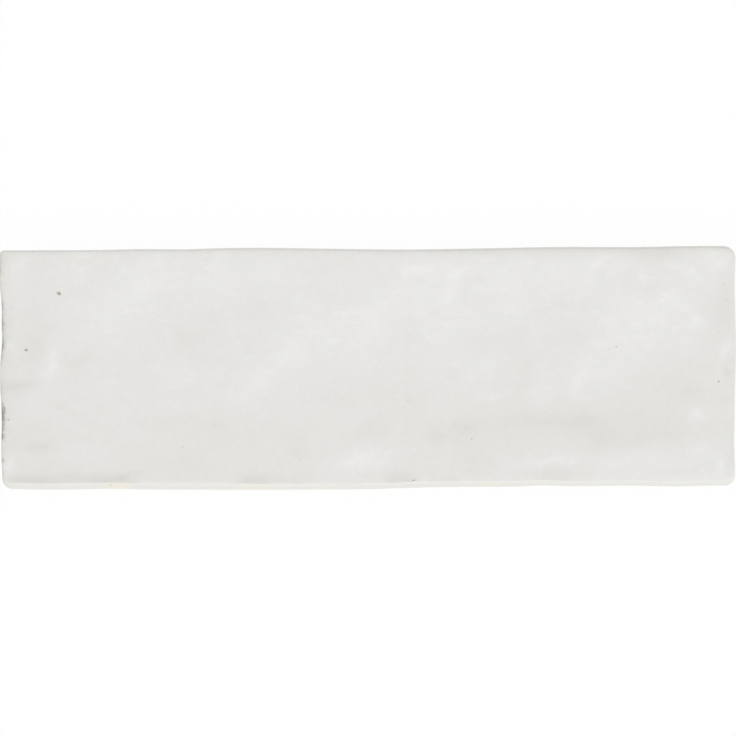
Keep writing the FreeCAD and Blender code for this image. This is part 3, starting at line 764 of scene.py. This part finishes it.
def draw_sides(piece):
    """The four sides, row by row from the arris down, by extruding the rim of the net."""
    shoulder = THICKNESS - SHOULDER_DROP
    choose(piece, "EDGE", lambda edge: edge.is_boundary)
    for row in range(1, LAST_ROW + 1):
        bpy.ops.mesh.extrude_edges_move()
        net = net_of(piece)
        laid = net.verts.layers.float_vector["laid"]
        for vert in net.verts:
            if not vert.select:
                continue
            u, v = vert[laid].x, vert[laid].y
            x, y = plan(u, v, row)
            z, top = row_height(u, v, row)
            rim_x, rim_y = plan(u, v, 0)
            rise = face_height(rim_x, rim_y) + ripple(rim_x, rim_y) - top
            z += rise * smooth_step((z - shoulder) / (top - shoulder))
            below = 1.0 - smooth_step((z - lap_at(x, y)) / LAP_STEP)
            inwards = Vector((rim_x - x, rim_y - y, 0.0))
            if inwards.length < TOO_NEAR:
                inwards = Vector((-x / LENGTH, -y / WIDTH, 0.0))
            inwards.normalize()
            x += inwards.x * GLAZE_DEPTH * below
            y += inwards.y * GLAZE_DEPTH * below
            vert.co = Vector((x, y, z)) * MM
        bmesh.update_edit_mesh(piece.data)


def draw_back():
    """The keyed back: a field of drafted pockets between ribs."""
    pitch = POCKET_SIDE + RIB
    columns = int((LENGTH - 2 * RIM + RIB) // pitch)
    rows = int((WIDTH - 2 * RIM + RIB) // pitch)
    back = begin(
        "keyed_back", bpy.ops.mesh.primitive_grid_add, x_subdivisions=columns,
        y_subdivisions=rows, size=1.0, location=(0.0, 0.0, 0.0),
    )
    bpy.ops.transform.resize(value=(columns * pitch * MM, rows * pitch * MM, 1.0))
    bpy.ops.mesh.flip_normals()
    bpy.ops.mesh.select_all(action="SELECT")
    bpy.ops.mesh.inset(thickness=RIB / 2 * MM, use_individual=True)
    bpy.ops.mesh.bevel(offset=POCKET_CORNER * MM, segments=POCKET_STEPS, affect="VERTICES")
    least = POCKET_SHARE * (POCKET_SIDE * MM) ** 2
    choose(
        back, "FACE",
        lambda face: len(face.verts) > 2 * POCKET_STEPS and face.calc_area() > least,
    )
    bpy.ops.mesh.inset(
        thickness=POCKET_DRAFT * MM, depth=-POCKET_DEPTH * MM, use_individual=True
    )
    bpy.ops.object.mode_set(mode="OBJECT")
    return back


def close_back(piece, back):
    """Joins the keyed back to the sides and fills the plain rim between them."""
    bpy.ops.object.mode_set(mode="OBJECT")
    bpy.ops.object.select_all(action="DESELECT")
    back.select_set(True)
    piece.select_set(True)
    bpy.context.view_layer.objects.active = piece
    bpy.ops.object.join()
    bpy.ops.object.mode_set(mode="EDIT")
    choose(piece, "EDGE", lambda edge: edge.is_boundary)
    bpy.ops.mesh.fill(use_beauty=True)
    bpy.ops.mesh.select_all(action="SELECT")
    bpy.ops.mesh.normals_make_consistent(inside=False)


def close_net(piece, middle, reach, cuts):
    """Makes the net closer round one place, for relief too small for it."""
    middle = middle * MM
    reach = reach * MM
    choose(
        piece, "FACE",
        lambda face: (face.calc_center_median() - middle).length < reach
        and face.normal.z > FACING_DOWN,
    )
    bpy.ops.mesh.subdivide(number_cuts=cuts)


def strike_chip(piece, share, length, depth):
    """Knocks a shell-shaped chip out of the west arris, and paints grime and shade into it."""
    radius = (length ** 2 / 4 + depth ** 2) / (2 * depth)
    x = -LENGTH / 2 - wave_at(WEST_WAVE, share) + WEST_LEAN
    y = (share - 0.5) * WIDTH
    z = face_height(x, y) - ARRIS_RADIUS / 2
    middle = Vector((x, y, z))
    away = (radius - depth) * math.sqrt(0.5)
    close_net(piece, middle, length / 2 + CHIP_MARGIN, CLOSE_CUTS)
    centre = Vector((x - away, y, z + away))
    net = net_of(piece)
    grime = net.verts.layers.float["grime"]
    for vert in net.verts:
        place = vert.co / MM
        if (place - middle).length > length:
            continue
        rough = sum(
            height * noise.noise(place * closeness) for height, closeness in CHIP_ROUGHNESS
        )
        gap = place - centre
        bite = radius + rough - gap.length
        if bite > 0.0:
            vert.co = (centre + gap.normalized() * (radius + rough)) * MM
            # Grime and painted shade in the hollow of the chip.
            worst = CHIP_GRIME_AND_SHADE + CHIP_GRIME_AND_SHADE_BY_DEPTH * depth
            worst += CHIP_GRIME_AND_SHADE_PATCHES * noise.noise(place * CHIP_PATCH_CLOSENESS)
            outside = (x - place.x + CHIP_OUTSIDE_FROM) / CHIP_OUTSIDE_OVER
            worst += CHIP_GRIME_AND_SHADE_OUTSIDE * smooth_step(outside)
            worst *= 1.0 - CHIP_LESS_NORTH * smooth_step((place.y - y) / (length / 2))
            vert[grime] = max(vert[grime], worst * smooth_step(bite / CHIP_GRIME_AND_SHADE_FULL))
    bmesh.update_edit_mesh(piece.data)


def prick(piece, x, y, length, breadth, degrees, depth, stained):
    """Opens a pinhole in the glaze, tapered to one end, with a painted highlight on its stained
    floor and a warm rim round it.
    """
    over = [vert for vert in net_of(piece).verts if vert.co.z > THICKNESS / 2 * MM]
    nearest = min(over, key=lambda vert: math.hypot(vert.co.x / MM - x, vert.co.y / MM - y))
    middle = Vector((x, y, nearest.co.z / MM))
    cuts = FINE_CUTS if length > LARGE_PINHOLE else CLOSE_CUTS
    close_net(piece, middle, PIT_MARGIN * length + PIT_WIDER, cuts)
    halo = PIT_HALO * stained * smooth_step(length / HALO_FULL)
    net = net_of(piece)
    soil = net.verts.layers.float["soil"]
    peach = net.verts.layers.float["peach"]
    for vert in net.verts:
        place = vert.co / MM
        dx, dy = place.x - x, place.y - y
        if math.hypot(dx, dy) > PIT_REACH * length or abs(place.z - middle.z) > PIT_HEADROOM:
            continue
        u, v = turned_by(dx, dy, degrees, length, breadth)
        v /= max(1.0 - PIT_TAPER, 1.0 + PIT_TAPER * min(u, 0.0))
        away = math.hypot(u, v)
        uneven = wobble(place.x * PIT_CLOSENESS, place.y * PIT_CLOSENESS, PIT_SEED)
        away *= 1.0 + PIT_UNEVEN * uneven
        pit = soft_line(away, PIT_EDGE, 4)
        rim = soft_line(away - PIT_RIM, PIT_RIM_BREADTH)
        # A painted highlight on the floor of the pit, where the stain is left out.
        off_highlight = (u - PIT_HIGHLIGHT_U) ** 2 + (v - PIT_HIGHLIGHT_V) ** 2
        highlight = PIT_HIGHLIGHT * math.exp(-off_highlight / PIT_HIGHLIGHT_SPREAD)
        vert.co.z += (PIT_RIM_RISE * rim - pit) * depth * MM
        vert[soil] = max(vert[soil], stained * pit * (1.0 - highlight))
        vert[peach] = max(vert[peach], halo * rim)
    bmesh.update_edit_mesh(piece.data)


# ---- what is noted on the vertices ----
def drift_at(x, y, furthest, seed):
    """How far the edges of clouds and stains stray there."""
    return furthest * wobble(x / DRIFT_SIZE, y / DRIFT_SIZE, seed)


def clouds_and_sheen_at(x, drift_x, drift_y):
    """How much paler or darker the clouds and painted highlights make the glaze there."""
    total = 0.0
    for middle_x, middle_y, length, breadth, degrees, paler in CLOUDS_AND_SHEEN:
        if abs(x - middle_x) < CLOUD_REACH * max(length, breadth):
            dx, dy = drift_x - middle_x, drift_y - middle_y
            total += paler * bump_at(dx, dy, length, breadth, degrees)
    return total


def side_tones_and_light_at(x, y, above_crest, from_north):
    """How much paler or darker the glaze is there along its long sides, with painted shade above
    the south bevel, down the north roll and at its rim, and a painted highlight on the crest.
    """
    along = x / LENGTH + 0.5
    on_face = smooth_step(above_crest / CREST_EDGE + 0.5)
    mean, swing, long, broad, seed = LIP_SHADE_UNEVEN
    ragged = mean + swing * wobble(x / long, y / broad, seed)
    total = NORTHWARD_TONE * y / WIDTH
    # Painted shade on the face just above the south bevel, behind the lip.
    for middle, length, strength in LIP_SHADES:
        near = soft_line(x - middle, length, 4) * fading(above_crest, LIP_SHADE_REACH, 2)
        total -= LIP_SHADE_TONE * strength * near * on_face * ragged
    # A painted highlight along the crest of the south bevel.
    total += CREST_HIGHLIGHT_TONE * soft_line(above_crest + CREST_DROP, CREST_BREADTH)
    # Painted shade in a thin line just above the crest, in the east half.
    arris_shade = smooth_step((along - DULL_FROM) / DULL_OVER)
    total -= ARRIS_SHADE_TONE * arris_shade * soft_line(above_crest - DULL_RISE, DULL_BREADTH)
    foot = mixed(FOOT_TONE_WEST, FOOT_TONE_EAST, smooth_step((along - FOOT_FROM) / FOOT_OVER))
    total += foot * fading(above_crest, FOOT_REACH, 2) * on_face
    # Painted shade down the north roll, and in a darker line at its rim.
    north_shade = mixed(NORTH_SHADE_WEST, NORTH_SHADE_EAST, smooth_step((along - NORTH_SHADE_FROM) / NORTH_SHADE_OVER))
    total -= north_shade * fading(from_north - NORTH_LEAN, NORTH_SHADE_REACH, NORTH_SHADE_POWER)
    total -= NORTH_RIM_SHADE_TONE * fading(from_north - NORTH_RIM, NORTH_RIM_REACH)
    return total


def grime_and_shade_at(y, z, from_north, from_west, from_east):
    """Grime in the rough west arris, and painted shade along the north and east ones."""
    mean, swing, long, high, seed = GRIME_UNEVEN
    patchy = mean + swing * wobble(y / long, seed, z / high)
    patchy *= smooth_step((z - THICKNESS + SHOULDER_DROP + GRIME_DROP) / GRIME_FADE)
    worst = wave_at(WEST_GRIME, y / WIDTH + 0.5) * patchy
    worst *= fading(from_west - WEST_GRIME_START, WEST_GRIME_REACH)
    # Painted shade along the north and east rims.
    west, north, east = (
        strength * fading(distance - start, reach)
        for (strength, start, reach), distance in (
            (WEST_SPREAD, from_west), (NORTH_EDGE_SHADE, from_north), (EAST_EDGE_SHADE, from_east),
        )
    )
    return max(worst + west, north, east)


def warmth_at(above_crest, from_north, from_west, from_east):
    """How warm the glaze looks there, where it lies thin near a side."""
    past_rim = smooth_step((from_north - WARM_NORTH_FROM) / WARM_NORTH_OVER)
    on_face = smooth_step(above_crest / CREST_EDGE + 0.5)
    return sum(
        strength * fading(distance, reach, 2) * share
        for (strength, reach), distance, share in (
            (WARM_WEST, from_west, 1.0),
            (WARM_NORTH, from_north, past_rim),
            (WARM_EAST, from_east, 1.0),
            (WARM_SOUTH, above_crest, on_face),
        )
    )


def note_glaze(piece):
    """Notes on each vertex how the glaze lies, how clean it is, and its painted highlights and
    shade, before any damage.
    """
    net = net_of(piece)
    cover, tone_and_light, warmth, cream, peach, grime = (
        net.verts.layers.float[name] for name in NOTES if name != "soil"
    )
    for vert in net.verts:
        x, y, z = vert.co / MM
        along = x / LENGTH + 0.5
        drift_x, drift_y = x + drift_at(x, y, *DRIFT_X), y + drift_at(x, y, *DRIFT_Y)
        from_south, from_north, from_west, from_east = inwards_from(x, y)
        above_crest = from_south - mixed(CREST_RUN_WEST, CREST_RUN_EAST, along)
        on_bevel = 1.0 - smooth_step(above_crest / CREST_EDGE + 0.5)
        # The painted highlight along the crest, which also takes some cream off the bevel.
        crest_highlight = soft_line(above_crest + CREST_DROP, CREST_BREADTH)
        stain = sum(
            strength * soft_line(drift_x - middle, length, 4)
            for middle, length, strength in STAINS
        )
        stain *= smooth_step((z - THICKNESS + SHOULDER_DROP + STAIN_FADE) / STAIN_FADE)
        clouds_and_sheen = clouds_and_sheen_at(x, drift_x, drift_y)
        vert[cover] = smooth_step((z - lap_at(x, y)) / LAP_EDGE + 0.5)
        # Tone of the glaze together with its painted highlights and shade.
        vert[tone_and_light] = clouds_and_sheen + side_tones_and_light_at(x, y, above_crest, from_north)
        vert[warmth] = warmth_at(above_crest, from_north, from_west, from_east)
        # Cream tint on the bevel, darkened as painted shade on the lit south slope.
        creamy_and_shaded = on_bevel * mixed(CREAM_AND_SHADE_WEST, CREAM_AND_SHADE_EAST, along)
        vert[cream] = creamy_and_shaded * (1.0 - CREAM_TAKEN_BY_HIGHLIGHT * crest_highlight)
        vert[peach] = on_bevel * stain
        vert[grime] = grime_and_shade_at(y, z, from_north, from_west, from_east)
    bmesh.update_edit_mesh(piece.data)


# ---- materials ----
class Reading:
    """The value of a socket. Arithmetic on it adds Math nodes to its finish."""

    def __init__(self, finish, socket):
        self.finish = finish
        self.socket = socket

    def work(self, operation, first, second):
        return self.finish.node("Math", {"operation": operation}, {0: first, 1: second})

    def followed(self, share, least):
        """A share of this value, over the least one."""
        return self * share + least

    def __add__(self, other):
        return self.work("ADD", self, other)

    def __radd__(self, other):
        return self.work("ADD", other, self)

    def __sub__(self, other):
        return self.work("SUBTRACT", self, other)

    def __rsub__(self, other):
        return self.work("SUBTRACT", other, self)

    def __mul__(self, other):
        return self.work("MULTIPLY", self, other)

    def __rmul__(self, other):
        return self.work("MULTIPLY", other, self)


class Finish:
    """The nodes of a material or of the world, and the one way they are added."""

    def __init__(self, owner):
        owner.use_nodes = True
        self.owner = owner
        self.tree = owner.node_tree
        self.tree.nodes.clear()

    def node(self, kind, settings=None, inputs=None, output=0):
        made = self.tree.nodes.new("ShaderNode" + kind)
        for key, value in (settings or {}).items():
            if key == "stops":
                self.set_stops(made.color_ramp, value)
            else:
                setattr(made, key, value)
        for key, value in (inputs or {}).items():
            if isinstance(value, Reading):
                self.tree.links.new(value.socket, made.inputs[key])
            else:
                made.inputs[key].default_value = value
        return Reading(self, made.outputs[output]) if made.outputs else None

    def set_stops(self, ramp, stops):
        while len(ramp.elements) < len(stops):
            ramp.elements.new(0.5)
        for element, (place, tint) in zip(ramp.elements, stops):
            element.position = place
            element.color = colour(tint)

    def mix(self, share, first, second, way="MIX"):
        settings = {"data_type": "RGBA", "blend_type": way}
        return self.node("Mix", settings, {0: share, 6: first, 7: second}, 2)

    def between(self, value, low, high):
        """How far a value lies from low to high, held to 0 and 1 and eased at both ends."""
        settings = {"interpolation_type": "SMOOTHSTEP"}
        return self.node("MapRange", settings, {"Value": value, "From Min": low, "From Max": high})

    def noise(self, place, scale, detail, rough):
        inputs = {"Vector": place, "Scale": scale, "Detail": detail, "Roughness": rough}
        return self.node("TexNoise", None, inputs)

    def specks(self, place, scale, full, none):
        """Small round specks, strewn about once to each cell of the given scale."""
        settings = {"voronoi_dimensions": "3D", "feature": "F1"}
        gap = self.node("TexVoronoi", settings, {"Vector": place, "Scale": scale}, "Distance")
        return 1.0 - self.between(gap, full, none)

    def noted(self, name):
        """What is noted on the vertices under a name."""
        return self.node("Attribute", {"attribute_name": name}, None, "Fac")

    def seen_plainly(self):
        """One for what is seen, mirrored or seen through glass, and nothing for what is lit."""
        path = self.node("LightPath", None, None, "Is Camera Ray")
        for kind in ("Is Glossy Ray", "Is Transmission Ray"):
            path = path + self.node("LightPath", None, None, kind)
        return path

    def end(self, shader, kind="Material"):
        self.node("Output" + kind, None, {"Surface": shader})
        return self.owner


def colour(tint):
    """A colour as it looks on a screen, given as three numbers from 0 to 255."""
    linear = []
    for value in tint:
        share = value / 255.0
        linear.append(share / 12.92 if share <= 0.04045 else ((share + 0.055) / 1.055) ** 2.4)
    return (*linear, 1.0)


def glaze_finish():
    """White glaze, cloudy and a little warm where it is thin, with painted highlights and shade,
    over the pale fired body.
    """
    finish = Finish(bpy.data.materials.new("white_glaze_on_clay"))
    place = finish.node("TexCoord", None, None, "Object")
    turn = (0.0, 0.0, math.radians(STREAK_TURN))
    drawn = (STREAK_DRAWN, 1.0, 1.0)
    brushed = finish.node("Mapping", None, {"Vector": place, "Rotation": turn, "Scale": drawn})
    streaks = finish.noise(brushed, *STREAKS)
    mottle = finish.noise(place, *MOTTLE)
    grain = finish.noise(place, *GRAIN)
    flecks = finish.between(finish.noise(brushed, *FLECKS), *FLECK_WINDOW)
    pinpricks = finish.specks(place, *PINPRICKS)
    pale_specks = finish.specks(place, *PALE_SPECKS)

    # Tones of the glaze, with the painted highlights and shade noted on the vertices.
    shade = finish.noted("glaze_tone") * TONE_SHIFT + (streaks - 0.5) * STREAK_SHIFT
    shade = shade + (mottle - 0.5) * MOTTLE_SHIFT + (grain - 0.5) * GRAIN_SHIFT
    bright = finish.between(shade, *BRIGHT_WINDOW)
    shade = shade + flecks * (bright * BRIGHT_FLECK_SHIFT + FLECK_SHIFT)
    shade = shade - pinpricks * PINPRICK_SHIFT + pale_specks * PALE_SPECK_SHIFT
    white = finish.node("ValToRGB", {"stops": GLAZE_TONES}, {"Fac": shade + 0.5})
    white = finish.mix(finish.noted("warmth"), white, THIN_GLAZE, "MULTIPLY")
    # Cream on the bevel, darkened as painted shade on its lit slope.
    white = finish.mix(finish.noted("cream"), white, colour(CREAM_AND_SHADE))
    stained = finish.noted("peach") * mottle.followed(*PEACH_BY_MOTTLE)
    white = finish.mix(stained, white, colour(PEACH))
    # Grime and painted shade from the notes, broken up by patterns.
    broken = finish.between(finish.noise(place, *GRIME_AND_SHADE_GRAIN), *BROKEN_WINDOW)
    grimed_and_shaded = finish.noted("grime") * streaks.followed(*GRIME_AND_SHADE_BY_STREAKS)
    grimed_and_shaded = grimed_and_shaded * broken.followed(*GRIME_AND_SHADE_BY_GRAIN)
    white = finish.mix(grimed_and_shaded, white, colour(GRIME_AND_SHADE))

    clay = finish.noise(place, *CLAY_GRAIN)
    clay = finish.mix(clay, colour(CLAY_PALE), colour(CLAY_DARK))
    clay = finish.mix(finish.specks(place, *GROG_SPECKS) * GROG_SHARE, clay, colour(GROG))
    ragged = (finish.noise(place, *LAP_GRAIN) - 0.5) * LAP_RAGGED
    covered = finish.between(finish.noted("glaze_cover") + ragged, *COVER_WINDOW)
    skin = finish.mix(covered, clay, white)
    pale_dirt = finish.between(grain, *DIRT_WINDOW)
    dirt = finish.mix(pale_dirt, colour(DIRT_DARK), colour(DIRT_PALE))
    base = finish.mix(finish.noted("soil"), skin, dirt)

    rough = CLAY_ROUGH - covered * (CLAY_ROUGH - GLAZE_ROUGH) + (mottle - 0.5) * ROUGH_MOTTLE
    peel = finish.noise(place, *ORANGE_PEEL)
    pores = finish.noise(place, *PORES)
    relief = (peel * PEEL_RELIEF - pinpricks * PINPRICK_RELIEF) * covered
    relief = relief + pores * (1.0 - covered) * PORE_RELIEF
    normal = finish.node(
        "Bump", None,
        {"Strength": RELIEF_STRENGTH, "Distance": RELIEF_HEIGHT, "Height": relief},
    )
    return finish.end(finish.node(
        "BsdfPrincipled", None,
        {"Base Color": base, "Roughness": rough, "Normal": normal, "IOR": GLAZE_IOR},
    ))


def floor_finish():
    """A pale floor that is white to the eye and to reflections, with the tile's soft shadow."""
    finish = Finish(bpy.data.materials.new("pale_floor"))
    matt = finish.node("BsdfDiffuse", None, {"Color": colour(FLOOR)})
    glow = finish.node("Emission", None, {"Color": WHITE, "Strength": 1.0})
    share = finish.seen_plainly() * FLOOR_GLOW
    return finish.end(finish.node("MixShader", None, {0: share, 1: matt, 2: glow}))


def white_world():
    """An even white world: white to the eye, and a plain fill light on the tile."""
    finish = Finish(bpy.data.worlds.new("plain_white"))
    fill = finish.node("Background", None, {"Color": WHITE, "Strength": FILL_LIGHT})
    seen = finish.node("Background", None, {"Color": WHITE, "Strength": 1.0})
    both = finish.node("MixShader", None, {0: finish.seen_plainly(), 1: fill, 2: seen})
    return finish.end(both, "World")


def key_lamp():
    """One large soft lamp, high in the south."""
    data = bpy.data.lights.new("key", "AREA")
    data.shape = "RECTANGLE"
    data.size = KEY_SIDE
    data.size_y = KEY_SIDE
    data.energy = KEY_POWER
    lamp = bpy.data.objects.new("key", data)
    bpy.context.collection.objects.link(lamp)
    tilt = math.radians(KEY_TILT)
    sweep = math.radians(KEY_SWEEP)
    toward = Vector((
        math.sin(tilt) * math.sin(sweep), -math.sin(tilt) * math.cos(sweep), math.cos(tilt),
    ))
    lamp.location = toward * KEY_AWAY
    lamp.rotation_mode = "QUATERNION"
    lamp.rotation_quaternion = toward.to_track_quat("Z", "Y")


def camera_above():
    """A camera square above the tile, as far off as shows the given width at the shoulder."""
    data = bpy.data.cameras.new("camera")
    data.lens = LENS
    data.sensor_width = SENSOR
    data.clip_start = NEAREST_SEEN
    data.clip_end = FARTHEST_SEEN
    camera = bpy.data.objects.new("camera", data)
    bpy.context.collection.objects.link(camera)
    shoulder = THICKNESS - SHOULDER_DROP
    camera.location = (0.0, 0.0, (SEEN_WIDTH * LENS / SENSOR + shoulder) * MM)
    return camera


# ---- the tile ----
tile = lay_face()
draw_sides(tile)
bpy.ops.object.mode_set(mode="OBJECT")
close_back(tile, draw_back())
note_glaze(tile)
for chip in CHIPS:
    strike_chip(tile, *chip)
for pinhole in PINHOLES:
    prick(tile, *pinhole)
bpy.ops.mesh.select_all(action="SELECT")
bpy.ops.mesh.remove_doubles(threshold=MERGE_WITHIN)
bpy.ops.object.mode_set(mode="OBJECT")
bpy.ops.object.shade_smooth_by_angle(angle=math.radians(CREASE))
tile.data.attributes.remove(tile.data.attributes["laid"])
tile.data.materials.clear()
tile.data.materials.append(glaze_finish())
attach(tile, "root")
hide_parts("tile")

# ---- floor, light and camera ----
bpy.ops.object.select_all(action="DESELECT")
bpy.ops.mesh.primitive_plane_add(size=FLOOR_SIDE, location=(0.0, 0.0, -FLOOR_GAP))
floor = bpy.context.object
floor.name = "floor"
floor.data.materials.append(floor_finish())
bpy.context.scene.world = white_world()
key_lamp()
bpy.context.scene.camera = camera_above()
bpy.context.scene.view_settings.view_transform = "Standard"
